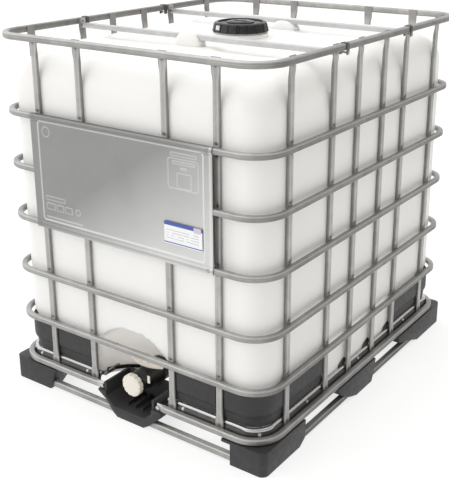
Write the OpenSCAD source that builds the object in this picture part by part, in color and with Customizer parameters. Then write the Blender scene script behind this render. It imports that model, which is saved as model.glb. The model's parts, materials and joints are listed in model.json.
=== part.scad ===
// Intermediate bulk container: a blow-moulded bottle held in a welded tube cage
// that stands on a steel and plastic pallet, with a screw lid on top and an
// outlet valve low on the front.
// Millimetres. X runs along the valve face, Y is the depth with the valve at -Y,
// Z is up from the floor. The origin is under the middle of the footprint.

/* [Footprint and height] */
// Width of the footprint along the valve face
base_w = 1000; // [980:5:1040]
// Depth of the footprint from the valve face to the rear
base_d = 1200; // [1180:5:1240]
// Radius of the cage corners at the tube centreline
corner_r = 90; // [84:1:110]

/* [Cage] */
// Height of the top ring's centreline
top_ring_z = 1147; // [1146:1:1180]
// Height of the first full ring below the top
ring_1_z = 916; // [900:1:930]
// Height of the second ring
ring_2_z = 750; // [735:1:765]
// Height of the third ring
ring_3_z = 582; // [570:1:590]
// Height of the fourth ring
ring_4_z = 405; // [390:1:420]
// Height of the fifth ring, level with the top of the corner protectors
ring_5_z = 241; // [241:1:250]
// Height of the bottom ring's centreline
bottom_ring_z = 86; // [86:1:88]
// Outside diameter of the five middle rings
ring_d = 18; // [17:0.5:18]
// Outside diameter of the top and bottom rings
edge_ring_d = 20; // [19:0.5:20]
// Wall thickness of the cage tubes
tube_wall = 1; // [0.8:0.1:1.5]
// Width of an upright
upright_w = 22; // [18:1:24]
// Depth of an upright, measured inwards from the rings
upright_t = 11; // [9:0.5:11]

/* [Bottle] */
// Wall thickness of the bottle
bottle_wall = 2.5; // [2:0.1:4]
// Radius of the bottle's shoulder
shoulder_r = 100; // [80:5:110]
// Height of the bottle's flat top
bottle_top_z = 1108; // [1100:1:1110]
// Radius of the scoop that clears the valve
scoop_r = 170; // [165:1:172]

/* [Lid] */
// Outside radius of the screw lid
lid_r = 90.5; // [88:0.5:95]
// Number of grip notches around the lid
lid_notches = 18; // [12:1:24]

/* [Valve] */
// Height of the outlet axis
valve_z = 118; // [118:1:120]
// Distance of the valve stem behind the front of the footprint
stem_in = 95; // [92:1:96]
// Bore radius of the valve
valve_bore_r = 25; // [24:0.5:25]
// Half length of the valve handle
handle_half = 64; // [50:1:64]
// Height of the valve handle's underside above the outlet axis
handle_up = 41; // [41:1:46]

/* [Label plate] */
// Left edge of the label plate
plate_x0 = -344; // [-346:1:-341]
// Right edge of the label plate
plate_x1 = 330; // [322:1:340]
// Depth of the label plate's folded upper and lower edges
plate_fold = 12; // [8:1:14]

/* [Hidden] */
$fn = 48;
// Half sizes of the cage at the ring centreline
ring_x = base_w / 2 - 12;
ring_y = base_d / 2 - 11;
// Inner and outer planes of the uprights, as insets from the ring centreline
up_out = ring_d / 2;
up_in = up_out + upright_t;
// Plane of the upright tabs
tab_out = edge_ring_d / 2;
tab_in = tab_out + 3;
top_z = top_ring_z + edge_ring_d / 2;
foot_h = bottom_ring_z - edge_ring_d / 2;
floor_z = 100;
sheet = 1.2;
stem_y = -(base_d / 2 - stem_in);
scoop_y = -base_d / 2;
runner_d = 22;
runner_z = 17;
runner_k = 6;
// Lower part of the bottle, between the corner protectors
low_k = 26;
high_k = up_in + 0.5;
shoulder_z = bottle_top_z - shoulder_r;
front_xs = [-330, -157, 157, 330];
side_ys = [-450, -228, -81, 81, 228, 450];
bar_y = 228;
bar_z = 1134;
// Label plate: it clears the rings it folds over by a little, with a weld near each corner
plate_z0 = ring_3_z - ring_d / 2 - 1.6;
plate_z1 = ring_1_z + ring_d / 2 + 1.6;
plate_weld_xs = [plate_x0 + 16, plate_x1 - 16];
// Lid levels
neck_r = 82;
neck_top = 1146;
lid_z0 = 1127;
lid_z1 = 1157;
// Valve stations along Y, counted from the stem
out_face = stem_y + 53;
cap_face = stem_y - 79;

steel = [0.62, 0.63, 0.64];
black = [0.10, 0.10, 0.11];
white = [0.93, 0.93, 0.90];
cream = [0.90, 0.86, 0.78];
rubber = [0.16, 0.16, 0.17];

// ---------- shared shapes ----------

// Rounded rectangle whose edge lies k inside the ring centreline
module outline(k) {
    x = ring_x - k;
    y = ring_y - k;
    r = max(corner_r - k, 6);
    square([2 * x, 2 * (y - r)], center = true);
    square([2 * (x - r), 2 * y], center = true);
    for (sx = [-1, 1], sy = [-1, 1])
        translate([sx * (x - r), sy * (y - r)])
            circle(r);
}

// Upright slab with that outline
module slab(k, z0, z1) {
    translate([0, 0, z0])
        linear_extrude(z1 - z0)
            outline(k);
}

// Section of a roll-formed tube: a square of width d with well rounded corners
module tube_section(d) {
    r = d * 0.32;
    square([d, d - 2 * r], center = true);
    square([d - 2 * r, d], center = true);
    for (sx = [-1, 1], sy = [-1, 1])
        translate([sx * (d / 2 - r), sy * (d / 2 - r)])
            circle(r);
}

// Sweeps a flat profile around the cage; profile x points outwards, profile y up
module sweep(k) {
    x = ring_x - k;
    y = ring_y - k;
    r = corner_r - k;
    for (turn = [0, 180]) rotate([0, 0, turn]) {
        translate([x, y - r, 0])
            rotate([90, 0, 0])
                linear_extrude(2 * (y - r))
                    children();
        rotate([0, 0, 90])
            translate([y, x - r, 0])
                rotate([90, 0, 0])
                    linear_extrude(2 * (x - r))
                        children();
        translate([x - r, y - r, 0])
            rotate_extrude(angle = 90)
                translate([r, 0])
                    children();
        translate([-(x - r), y - r, 0])
            rotate([0, 0, 90])
                rotate_extrude(angle = 90)
                    translate([r, 0])
                        children();
    }
}

// Box given by its two corners
module span(a, b) {
    translate(a)
        cube([b[0] - a[0], b[1] - a[1], b[2] - a[2]]);
}

// Cylinder along Y from y0 to y1
module along_y(r, y0, y1, x = 0, z = valve_z) {
    translate([x, y1, z])
        rotate([90, 0, 0])
            cylinder(r = r, h = y1 - y0);
}

// ---------- cage ----------

// One bent tube ring; its ends meet at a narrow joint in the middle of the rear side
module tube_ring(z, d) {
    color(steel)
        difference() {
            translate([0, 0, z])
                sweep(0)
                    difference() {
                        tube_section(d);
                        tube_section(d - 2 * tube_wall);
                    }
            span([-0.5, ring_y - d, z - d], [0.5, ring_y + d, z + d]);
        }
}

module top_ring() {
    tube_ring(top_ring_z, edge_ring_d);
}

module cage_ring_1() {
    tube_ring(ring_1_z, ring_d);
}

module cage_ring_2() {
    tube_ring(ring_2_z, ring_d);
}

module cage_ring_3() {
    tube_ring(ring_3_z, ring_d);
}

module cage_ring_4() {
    tube_ring(ring_4_z, ring_d);
}

module cage_ring_5() {
    tube_ring(ring_5_z, ring_d);
}

// Bottom ring, open at the valve, with its ends flattened for a bolt each
module bottom_ring() {
    color(steel)
        difference() {
            union() {
                difference() {
                    translate([0, 0, bottom_ring_z])
                        sweep(0)
                            difference() {
                                tube_section(edge_ring_d);
                                tube_section(edge_ring_d - 2 * tube_wall);
                            }
                    span([-124, -ring_y - 40, 0], [124, -ring_y + 40, 200]);
                }
                for (s = [-1, 1])
                    translate([s * 119, -ring_y, foot_h + 11.5])
                        cube([30, 3, 23], center = true);
            }
            for (s = [-1, 1])
                along_y(4.3, -ring_y - 20, -ring_y + 20, s * 113, bottom_ring_z);
        }
}

// One upright: a flat-sided tube with both ends pinched into wider tabs.
// Its outer face lies at x = 0 and its middle at y = 0.
module upright() {
    o = tab_out - up_out;
    w = upright_w / 2;
    z0 = foot_h;
    z1 = z0 + 28;
    z2 = z0 + 64;
    z3 = top_z - 67;
    z4 = top_z - 32;
    difference() {
        intersection() {
            translate([0, 40, 0])
                rotate([90, 0, 0])
                    linear_extrude(80)
                        polygon([[-o, z0], [-o, z1], [0, z2], [0, z3], [-o, z4], [-o, top_z],
                            [-o - 3, top_z], [-o - 3, z4], [-upright_t, z3], [-upright_t, z2],
                            [-o - 3, z1], [-o - 3, z0]]);
            translate([-40, 0, 0])
                rotate([90, 0, 90])
                    linear_extrude(80)
                        polygon([[-15, z0], [15, z0], [15, z1], [w, z2], [w, z3], [15, z4],
                            [15, top_z], [-15, top_z], [-15, z4], [-w, z3], [-w, z2], [-15, z1]]);
        }
        span([-upright_t + tube_wall, -w + tube_wall, z2 + 2], [-tube_wall, w - tube_wall, z3 - 2]);
        translate([-upright_t - 1, 0, z2 + 60])
            rotate([0, 90, 0])
                cylinder(r = 3, h = 4);
    }
}

module front_uprights() {
    color(steel)
        for (x = front_xs)
            translate([x, -(ring_y - up_out), 0])
                rotate([0, 0, -90])
                    upright();
}

module rear_uprights() {
    color(steel)
        for (x = front_xs)
            translate([x, ring_y - up_out, 0])
                rotate([0, 0, 90])
                    upright();
}

module left_uprights() {
    color(steel)
        for (y = side_ys)
            translate([-(ring_x - up_out), y, 0])
                rotate([0, 0, 180])
                    upright();
}

module right_uprights() {
    color(steel)
        for (y = side_ys)
            translate([ring_x - up_out, y, 0])
                upright();
}

// Flat-oval bar over the bottle with a tongue at each end that stands up behind the tabs
module cross_bar(y) {
    reach = ring_x - tab_in;
    color(steel)
        difference() {
            union() {
                difference() {
                    translate([0, y, bar_z])
                        cube([2 * reach - 24, 24, 14], center = true);
                    translate([0, y, bar_z])
                        cube([2 * reach, 24 - 2 * tube_wall, 14 - 2 * tube_wall], center = true);
                }
                for (s = [-1, 1]) {
                    translate([s * (reach - 10), y, bar_z - 5.5])
                        cube([20, 22, 3], center = true);
                    translate([s * (reach - 1.5), y, (bar_z - 7 + top_z - 1) / 2])
                        cube([3, 22, top_z - 1 - bar_z + 7], center = true);
                }
            }
            translate([-600, y, top_ring_z])
                rotate([0, 90, 0])
                    cylinder(r = 3.3, h = 1200);
        }
}

module front_cross_bar() {
    cross_bar(-bar_y);
}

module rear_cross_bar() {
    cross_bar(bar_y);
}

// Saddles that hook over the top ring at both ends of each cross bar, beside the upright
module bar_brackets() {
    r = edge_ring_d / 2;
    color(steel)
        for (sx = [-1, 1], sy = [-1, 1])
            translate([sx * ring_x, sy * bar_y - sy * 26, top_ring_z])
                rotate([90, 0, sx > 0 ? 0 : 180])
                    translate([0, 0, -8])
                        linear_extrude(16)
                            difference() {
                                union() {
                                    tube_section(2 * r + 4);
                                    translate([-r - 2, -22])
                                        square([2 * r + 4, 22]);
                                }
                                tube_section(2 * r + 0.2);
                                translate([-r - 0.1, -23])
                                    square([2 * r + 0.2, 23]);
                            }
}

// Bolts that draw each saddle's legs together below the ring
module bar_bolts() {
    r = edge_ring_d / 2;
    color(steel)
        for (sx = [-1, 1], sy = [-1, 1])
            translate([sx * ring_x, sy * bar_y - sy * 26, top_ring_z - 16])
                rotate([0, 90, 0])
                    cylinder(r = 3, h = 2 * r - 0.4, center = true);
}

// ---------- label plate ----------

// Sheet over the front of rings 1 to 3, folded back over ring 1 and under ring 3
module label_plate() {
    y = -(ring_y + up_out);
    color(steel)
        difference() {
            span([plate_x0, y - 1.4, plate_z0], [plate_x1, y + plate_fold, plate_z1]);
            span([plate_x0 - 1, y, plate_z0 + 1.4], [plate_x1 + 1, y + plate_fold + 1, plate_z1 - 1.4]);
            for (x = plate_weld_xs, z = [ring_1_z, ring_3_z])
                along_y(4, y - 10, y + 10, x, z);
        }
}

// Plug welds that fill the plate's corner holes
module plate_welds() {
    y = -(ring_y + up_out);
    color(steel)
        for (x = plate_weld_xs, z = [ring_1_z, ring_3_z])
            along_y(3.9, y - 1.7, y, x, z);
}

module label_sticker() {
    y = -(ring_y + up_out) - 1.4;
    color(white)
        span([167, y - 0.3, 633], [298, y, 697]);
}

// ---------- bottle ----------

// Rounded shoulder and flat top as one convex cap
module shoulder(k, z, r) {
    hull()
        for (a = [0 : 15 : 90])
            translate([0, 0, z + r * sin(a)])
                linear_extrude(0.01)
                    outline(k + r * (1 - cos(a)));
}

// Solid body of the bottle, shrunk by t on every side
module bottle_form(t) {
    slab(low_k + 6 + t, floor_z + t, floor_z + 18 + t);
    slab(low_k + t, floor_z + 18 - t + 2 * t, ring_5_z + 6 + t);
    slab(high_k + t, ring_5_z + 6 + t, shoulder_z + 0.01);
    shoulder(high_k + t, shoulder_z, shoulder_r - t);
}

// Moulded lug that holds a cross bar down
module bar_lug(x, y) {
    difference() {
        span([x - 55, y - 26, bottle_top_z - 3], [x + 55, y + 26, bar_z + 17]);
        span([x - 60, y - 12.5, bar_z - 7.5], [x + 60, y + 12.5, bar_z + 7.5]);
        for (s = [-1, 1])
            translate([x + s * 66, y, bar_z + 20])
                rotate([0, s * 35, 0])
                    cube([50, 80, 60], center = true);
    }
}

module bottle() {
    color(white)
        difference() {
            union() {
                difference() {
                    bottle_form(0);
                    translate([0, scoop_y, 130])
                        sphere(r = scoop_r, $fn = 64);
                }
                translate([0, 0, bottle_top_z - 3])
                    cylinder(r = neck_r + 6, h = lid_z0 - 5 - bottle_top_z + 3);
                translate([0, 0, bottle_top_z - 3])
                    cylinder(r = neck_r, h = neck_top - bottle_top_z + 3);
                along_y(31, out_face, scoop_y + scoop_r + 8);
                bar_lug(-25, -bar_y);
                bar_lug(25, bar_y);
            }
            difference() {
                bottle_form(bottle_wall);
                translate([0, scoop_y, 130])
                    sphere(r = scoop_r + bottle_wall, $fn = 64);
                for (p = [[-25, -bar_y], [25, bar_y]])
                    span([p[0] - 62, p[1] - 30, bar_z - 14], [p[0] + 62, p[1] + 30, bar_z + 30]);
            }
            translate([0, 0, bottle_top_z - 30])
                cylinder(r = neck_r - 7, h = 100);
            along_y(valve_bore_r, out_face - 1, out_face + 60);
        }
}

// ---------- lid ----------

module lid_gasket() {
    color(rubber)
        translate([0, 0, neck_top])
            difference() {
                cylinder(r = neck_r - 0.5, h = 3);
                translate([0, 0, -1])
                    cylinder(r = neck_r - 7, h = 5);
            }
}

module screw_lid() {
    color(black)
        difference() {
            rotate_extrude()
                polygon([[0, lid_z0], [lid_r, lid_z0], [lid_r, lid_z0 + 4], [lid_r - 4, lid_z0 + 18],
                    [lid_r - 5.5, lid_z1 - 7], [lid_r - 8.5, lid_z1 - 3], [lid_r - 13, lid_z1 - 0.6],
                    [lid_r - 16, lid_z1], [0, lid_z1]]);
            // room for the neck and the gasket
            translate([0, 0, lid_z0 - 1])
                cylinder(r = neck_r + 0.6, h = neck_top + 3 - lid_z0 + 1);
            // sunken ring between the rim and the middle boss
            translate([0, 0, lid_z1 - 5])
                difference() {
                    cylinder(r = lid_r - 19, h = 6);
                    translate([0, 0, -1])
                        cylinder(r = 44, h = 8);
                }
            // seat and hole for the vent plug
            translate([0, 0, lid_z1 - 3])
                cylinder(r = 36, h = 4);
            translate([0, 0, lid_z0])
                cylinder(r = 27, h = 60);
            for (i = [0 : lid_notches - 1])
                rotate([0, 0, i * 360 / lid_notches])
                    span([lid_r - 3, -3, lid_z0 - 1], [lid_r + 3, 3, lid_z1 - 5]);
        }
}

module vent_gasket() {
    color(rubber)
        translate([0, 0, lid_z1 - 3])
            difference() {
                cylinder(r = 34, h = 1.5);
                translate([0, 0, -1])
                    cylinder(r = 27.4, h = 4);
            }
}

module vent_plug() {
    color(black)
        difference() {
            union() {
                translate([0, 0, lid_z1 - 1.5])
                    cylinder(r = 35, h = 2.3);
                translate([0, 0, lid_z1 - 14])
                    cylinder(r = 26.93, h = 13);
                span([-24, -3.5, lid_z1 + 0.5], [24, 3.5, lid_z1 + 2.8]);
            }
            translate([0, 0, lid_z1 - 15])
                cylinder(r = 23, h = 12);
        }
}

// Tamper strip on the neck collar just outside the lid's skirt
module seal_tab() {
    color(white)
        rotate([0, 0, 205])
            span([neck_r + 6, -7, bottle_top_z + 1], [neck_r + 8, 7, bottle_top_z + 17]);
}

// ---------- pallet ----------

// Corner wrap between the tray and the fifth ring, stepped in low down and grooved at uprights
module protector(sx, sy) {
    step_z = floor_z + 50;
    color(black)
        difference() {
            intersection() {
                union() {
                    slab(up_in - 5.5, step_z, ring_5_z - 12);
                    slab(up_in, floor_z + 18.5, step_z);
                }
                span([sx > 0 ? 150 : -600, sy > 0 ? 234 : -700, 0],
                    [sx > 0 ? 600 : -150, sy > 0 ? 700 : -234, 400]);
            }
            slab(low_k - 0.8, 0, 400);
            for (x = front_xs)
                span([x - 15, sy > 0 ? ring_y - up_in - 0.3 : -700, 0],
                    [x + 15, sy > 0 ? 700 : -(ring_y - up_in - 0.3), 400]);
            for (y = side_ys)
                span([sx > 0 ? ring_x - up_in - 0.3 : -600, y - 15, 0],
                    [sx > 0 ? 600 : -(ring_x - up_in - 0.3), y + 15, 400]);
        }
}

module protector_front_left() {
    protector(-1, -1);
}

module protector_front_right() {
    protector(1, -1);
}

module protector_rear_left() {
    protector(-1, 1);
}

module protector_rear_right() {
    protector(1, 1);
}

// Flat profile of the tray's edge: wall, rolled bead and skirt, counted from the floor's rim
module tray_edge() {
    bead_r = 5;
    translate([-sheet, -sheet])
        square([sheet, 13 + sheet]);
    translate([bead_r - 1, 13])
        difference() {
            circle(bead_r);
            circle(bead_r - 1);
        }
    polygon([[7.2, 11], [8.4, 11], [15.5, -3], [14.5, -3]]);
}

// Sheet tray with a rolled bead and a skirt that slopes down to the bottom ring
module base_tray() {
    k = low_k + 4;
    // radius of the round cut-out around the valve, which has an upright lip
    lip_r = scoop_r - 11;
    color(steel)
        difference() {
            translate([0, scoop_y, floor_z - sheet])
                cylinder(r = lip_r + sheet, h = 13);
            translate([0, scoop_y, 0])
                cylinder(r = lip_r, h = 300);
            span([-52, -700, 0], [52, 0, 300]);
            span([-300, scoop_y - 300, 0], [300, scoop_y + 40, 300]);
        }
    color(steel)
        difference() {
            union() {
                slab(k + 0.6, floor_z - sheet, floor_z);
                translate([0, 0, floor_z])
                    sweep(k)
                        tray_edge();
            }
            translate([0, scoop_y, 0])
                cylinder(r = lip_r, h = 300);
            span([-52, -700, 0], [52, scoop_y + scoop_r + 12, 300]);
            // joint in the rolled bead
            span([-0.5, ring_y - k - 3, floor_z + 1], [0.5, ring_y, floor_z + 30]);
        }
}

// Three channels under the tray floor
module deck_beams() {
    color(steel)
        for (y = [-300, 0, 300])
            difference() {
                span([-465, y - 30, foot_h + 2], [465, y + 30, floor_z - sheet]);
                span([-470, y - 28, foot_h], [470, y + 28, floor_z - sheet - 2]);
            }
}

// Dome rivets on the tray floor rim that hold the channels
module tray_rivets() {
    color(steel)
        for (y = [-300, 0, 300], sx = [-1, 1], d = [-20, 20])
            translate([sx * 440, y + d, floor_z - sheet - 5])
                cylinder(r = 4, h = 3);
}

module runner_ring() {
    color(steel)
        difference() {
            translate([0, 0, runner_z])
                sweep(runner_k)
                    difference() {
                        tube_section(runner_d);
                        tube_section(runner_d - 2.4);
                    }
            span([-0.5, ring_y - 40, 0], [0.5, ring_y + 40, 60]);
        }
}

// Solid that clears the runner where it passes through a foot
module runner_space() {
    translate([0, 0, runner_z])
        sweep(runner_k)
            tube_section(runner_d + 0.6);
}

// Footprint rectangle with softened corners
module footprint() {
    x = base_w / 2;
    y = base_d / 2;
    r = 22;
    square([2 * x, 2 * (y - r)], center = true);
    square([2 * (x - r), 2 * y], center = true);
    for (sx = [-1, 1], sy = [-1, 1])
        translate([sx * (x - r), sy * (y - r)])
            circle(r);
}

// Plan of a corner foot with its inner corner cut off; cut moves that slanting edge outwards
module foot_plan(sx, sy, lx, deep, cut) {
    x = base_w / 2;
    y = base_d / 2;
    polygon([[sx * x, sy * y], [sx * (x - 220), sy * y], [sx * (x - 220), sy * (y - 50 + cut)],
        [sx * (x - lx + cut), sy * (y - 50 + cut)], [sx * (x - 74 + cut), sy * (y - deep)],
        [sx * x, sy * (y - deep)]]);
}

// Solid common to an outline seen from the front and one seen from the side. Each outline is a list
// of distances in from the foot's outer face and heights.
module foot_outlines(sx, sy, front, side) {
    intersection() {
        translate([0, base_d, 0])
            rotate([90, 0, 0])
                linear_extrude(2 * base_d)
                    polygon([for (p = front) [sx * (base_w / 2 - p[0]), p[1]]]);
        translate([-base_w, 0, 0])
            rotate([90, 0, 90])
                linear_extrude(2 * base_w)
                    polygon([for (p = side) [sy * (base_d / 2 - p[0]), p[1]]]);
    }
}

// Corner foot of width lx at the floor, with a rib, a bolt hole and a passage for the runner
module corner_foot(sx, sy, lx, deep, front, side, hollow_front, hollow_side) {
    x = base_w / 2;
    y = base_d / 2;
    color(black)
        difference() {
            intersection() {
                foot_outlines(sx, sy, front, side);
                linear_extrude(foot_h)
                    intersection() {
                        footprint();
                        foot_plan(sx, sy, lx, deep, 0);
                    }
            }
            difference() {
                intersection() {
                    foot_outlines(sx, sy, hollow_front, hollow_side);
                    linear_extrude(foot_h)
                        foot_plan(sx, sy, lx, deep + 20, 7);
                }
                translate([sx * (x - 86), sy * (y - 100), 0])
                    cube([6, 600, 200], center = true);
            }
            runner_space();
            translate([sx * (x - 60), sy * (y - 75), 0])
                cylinder(r = 5.2, h = 100);
        }
}

// The front feet are hollow from the side that faces the rear
module front_foot(sx, lx, front, hollow_front) {
    corner_foot(sx, -1, lx, 220, front, [[0, 0], [188, 0], [216, 18], [220, foot_h], [0, foot_h]],
        hollow_front, [[7, 6], [186, 6], [214, 24], [230, 24], [230, foot_h - 7], [7, foot_h - 7]]);
}

// The rear feet rise in steps towards the fork pocket and are hollow from the inner side
module rear_foot(sx) {
    corner_foot(sx, 1, 112, 355,
        [[0, 0], [112, 0], [112, foot_h - 9], [140, foot_h - 9], [140, foot_h], [0, foot_h]],
        [[0, 0], [195, 0], [280, 32], [350, 52], [355, foot_h], [0, foot_h]],
        [[7, 6], [150, 6], [150, foot_h - 14], [105, foot_h - 14], [105, foot_h - 7], [7, foot_h - 7]],
        [[7, 6], [193, 6], [278, 39], [343, 58], [343, foot_h - 7], [7, foot_h - 7]]);
}

module foot_front_left() {
    front_foot(-1, 158, [[0, 0], [158, 0], [178, 58], [186, foot_h], [0, foot_h]],
        [[7, 6], [151, 6], [169, 58], [169, foot_h - 7], [7, foot_h - 7]]);
}

module foot_front_right() {
    front_foot(1, 118,
        [[0, 0], [118, 0], [118, foot_h - 9], [148, foot_h - 9], [148, foot_h], [0, foot_h]],
        [[7, 6], [111, 6], [111, foot_h - 7], [7, foot_h - 7]]);
}

module foot_rear_left() {
    rear_foot(-1);
}

module foot_rear_right() {
    rear_foot(1);
}

// Tapered foot in the middle of a long side
module side_foot(s) {
    color(black)
        difference() {
            translate([s > 0 ? base_w / 2 - 100 : -base_w / 2, 0, 0])
                rotate([90, 0, 90])
                    linear_extrude(100)
                        polygon([[-185, foot_h], [-166, 50], [-108, 16], [-60, 0], [44, 0],
                            [58, 30], [68, foot_h]]);
            translate([s > 0 ? base_w / 2 - 120 : 7 - base_w / 2, 0, 0])
                rotate([90, 0, 90])
                    linear_extrude(113)
                        polygon([[-168, foot_h - 7], [-156, 54], [-104, 23], [-58, 6], [39, 6],
                            [51, 32], [58, foot_h - 7]]);
            runner_space();
            translate([s * (base_w / 2 - 60), 0, 0])
                cylinder(r = 5.2, h = 100);
        }
}

module foot_mid_left() {
    side_foot(-1);
}

module foot_mid_right() {
    side_foot(1);
}

// Tapered foot in the middle of the rear side
module foot_mid_rear() {
    color(black)
        difference() {
            translate([0, base_d / 2, 0])
                rotate([90, 0, 0])
                    linear_extrude(110)
                        polygon([[-115, foot_h], [-72, 0], [72, 0], [115, foot_h]]);
            translate([0, base_d / 2 - 7, 0])
                rotate([90, 0, 0])
                    linear_extrude(140)
                        polygon([[-101, foot_h - 7], [-65, 6], [65, 6], [101, foot_h - 7]]);
            runner_space();
            translate([0, base_d / 2 - 75, 0])
                cylinder(r = 5.2, h = 100);
        }
}

// Bolts that hang the feet from the deck, heads inside the feet
module foot_bolts() {
    x = base_w / 2 - 60;
    y = base_d / 2 - 75;
    color(steel)
        for (p = [[-x, -y], [x, -y], [-x, y], [x, y], [-x, 0], [x, 0], [0, y]])
            translate([p[0], p[1], foot_h - 13]) {
                cylinder(r = 8, h = 6, $fn = 6);
                translate([0, 0, 5])
                    cylinder(r = 5, h = floor_z - sheet - foot_h + 8 - (p[1] == 0 ? 2 : 0));
            }
}

// Housing around the valve that doubles as the front middle foot
module valve_guard() {
    y0 = -base_d / 2;
    color(black)
        difference() {
            union() {
                // lower trough down to the floor
                translate([0, y0 + 125, 0])
                    rotate([90, 0, 0])
                        linear_extrude(125)
                            polygon([[-124, foot_h], [-124, foot_h - 6], [-92, 48], [-66, 14],
                                [-48, 0], [58, 0], [82, 16], [128, 58], [128, foot_h]]);
                // upper bowl between the ends of the bottom ring
                span([-100, y0 + 4, foot_h - 1], [100, y0 + 120, floor_z + 6]);
            }
            // inside of the trough
            translate([0, y0 + 113, 0])
                rotate([90, 0, 0])
                    linear_extrude(140)
                        polygon([[-92, foot_h + 2], [-92, 60], [-62, 34], [62, 34], [92, 60],
                            [92, foot_h + 2]]);
            span([-92, y0 - 10, foot_h], [92, y0 + 113, floor_z + 80]);
            // passage for the valve
            along_y(46, y0 + 100, y0 + 200);
            span([-46, y0 + 100, valve_z], [46, y0 + 200, 300]);
            for (s = [-1, 1])
                along_y(4.3, y0 - 10, y0 + 60, s * 113, bottom_ring_z);
            runner_space();
        }
    // ribs under the trough
    color(black)
        difference() {
            for (x = [-30, 0, 30])
                span([x - 2.5, y0 + 30, 30], [x + 2.5, y0 + 112, 44]);
            runner_space();
        }
}

// Bolts through the flattened ends of the bottom ring
module guard_bolts() {
    color(steel)
        for (s = [-1, 1]) {
            along_y(4.2, -ring_y - 5, -ring_y + 8, s * 113, bottom_ring_z);
            translate([s * 113, -ring_y - 1.5, bottom_ring_z])
                rotate([90, 0, 0])
                    cylinder(r = 7.5, h = 5.5, $fn = 6);
        }
}

// ---------- valve ----------

module outlet_gasket() {
    color(rubber)
        difference() {
            along_y(31, out_face - 3, out_face);
            along_y(valve_bore_r + 0.5, out_face - 4, out_face + 1);
        }
}

// Nut that clamps the valve flange on the bottle outlet
module union_nut() {
    color(black)
        difference() {
            along_y(40, out_face - 15, out_face + 13);
            along_y(31.2, out_face - 2, out_face + 17);
            along_y(35.1, out_face - 9.05, out_face - 2);
            along_y(33.2, out_face - 16, out_face - 9);
            for (a = [0 : 30 : 330])
                translate([0, 0, valve_z])
                    rotate([0, a, 0])
                        translate([38.5, out_face - 16, -4])
                            cube([6, 33, 8]);
        }
}

module valve_body() {
    end = cap_face + 6;
    color(black)
        difference() {
            union() {
                along_y(35, out_face - 9, out_face - 3);
                along_y(33, end + 18, out_face - 3);
                along_y(30.5, end, end + 20);
                // stem boss above and closed pocket below
                translate([0, stem_y, valve_z])
                    cylinder(r = 13, h = handle_up - 1);
                translate([0, stem_y, valve_z - 38])
                    cylinder(r = 12, h = 38);
                // quarter-turn stops
                translate([0, stem_y, valve_z + 20])
                    cylinder(r = 22, h = handle_up - 21.5);
            }
            along_y(valve_bore_r, end - 1, out_face);
            translate([0, stem_y, valve_z - 34])
                cylinder(r = 6.05, h = 100);
            translate([0, stem_y, valve_z + handle_up - 5])
                cylinder(r = 9, h = 5);
        }
}

// Butterfly disc with a hub around the stem
module valve_disc() {
    color(black)
        difference() {
            union() {
                along_y(23.6, stem_y - 2, stem_y + 2);
                translate([0, stem_y, valve_z])
                    cylinder(r = 8.5, h = 40, center = true);
            }
            translate([0, stem_y, valve_z])
                cylinder(r = 6.02, h = 60, center = true);
        }
}

module disc_seal() {
    color(rubber)
        difference() {
            along_y(24.9, stem_y - 1, stem_y + 1);
            along_y(23.65, stem_y - 2, stem_y + 2);
            translate([0, stem_y, valve_z])
                cylinder(r = 6.1, h = 60, center = true);
        }
}

module valve_stem() {
    color(steel)
        difference() {
            translate([0, stem_y, valve_z - 33.8])
                cylinder(r = 6, h = 33.8 + handle_up + 11);
            translate([0, stem_y, valve_z + handle_up + 1])
                cylinder(r = 2.2, h = 12);
        }
}

module stem_seal() {
    color(rubber)
        translate([0, stem_y, valve_z + handle_up - 5])
            difference() {
                cylinder(r = 8.8, h = 3.5);
                translate([0, 0, -1])
                    cylinder(r = 6.3, h = 6);
            }
}

// Lens-shaped paddle, closed when it lies across the outlet
module valve_handle() {
    half_w = 21;
    big = (handle_half * handle_half + half_w * half_w) / (2 * half_w);
    z = valve_z + handle_up;
    color(cream)
        difference() {
            translate([0, stem_y, z])
                union() {
                    intersection() {
                        translate([0, big - half_w, 0])
                            cylinder(r = big, h = 8, $fn = 180);
                        translate([0, half_w - big, 0])
                            cylinder(r = big, h = 8, $fn = 180);
                    }
                    cylinder(r = 15, h = 13);
                }
            translate([0, stem_y, z - 1])
                cylinder(r = 6.02, h = 12.2);
            translate([0, stem_y, z])
                cylinder(r = 2.6, h = 20);
        }
}

module handle_screw() {
    color(steel)
        translate([0, stem_y, valve_z + handle_up + 3]) {
            cylinder(r = 2.1, h = 10.2);
            translate([0, 0, 10])
                cylinder(r = 5, h = 3);
        }
}

// ---------- dust cap ----------

module dust_gasket() {
    color(rubber)
        difference() {
            along_y(30, cap_face + 4, cap_face + 6);
            along_y(valve_bore_r, cap_face + 3, cap_face + 7);
        }
}

module dust_cap() {
    color(cream)
        difference() {
            union() {
                along_y(36, cap_face, cap_face + 18);
                along_y(30, cap_face - 1.2, cap_face + 1);
            }
            along_y(31, cap_face + 4, cap_face + 20);
            for (a = [0 : 30 : 330])
                translate([0, 0, valve_z])
                    rotate([0, a, 0])
                        translate([34, cap_face - 1, -2])
                            cube([4, 20, 4]);
        }
}

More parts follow.
